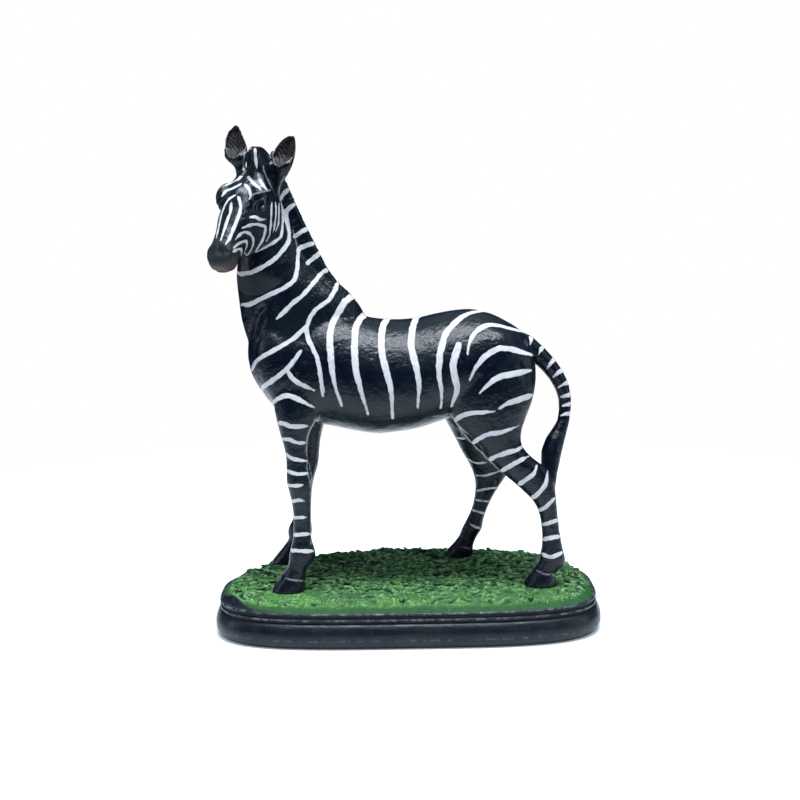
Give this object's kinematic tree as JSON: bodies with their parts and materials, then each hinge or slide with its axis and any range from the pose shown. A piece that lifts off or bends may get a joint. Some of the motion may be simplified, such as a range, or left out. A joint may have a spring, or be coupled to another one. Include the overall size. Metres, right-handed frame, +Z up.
{
  "type": "zebra figurine",
  "caption": "Standing painted zebra figurine with its head turned, cast in resin on a moulded oval plinth with a grass top.",
  "frame": {"origin": "centre of the plinth's flat underside", "axes": "+Z up, -X towards the animal's head end, -Y towards its left flank, the side that faces the viewer"},
  "size_m": [0.1808, 0.0896, 0.2315],
  "materials": {
    "figure_paint": "gloss black paint with white brushed stripes",
    "base_paint": "gloss black plinth, satin green grass"
  },
  "bodies": {
    "root": {"zebra": "figure_paint", "base": "base_paint"}
  },
  "joints": []
}
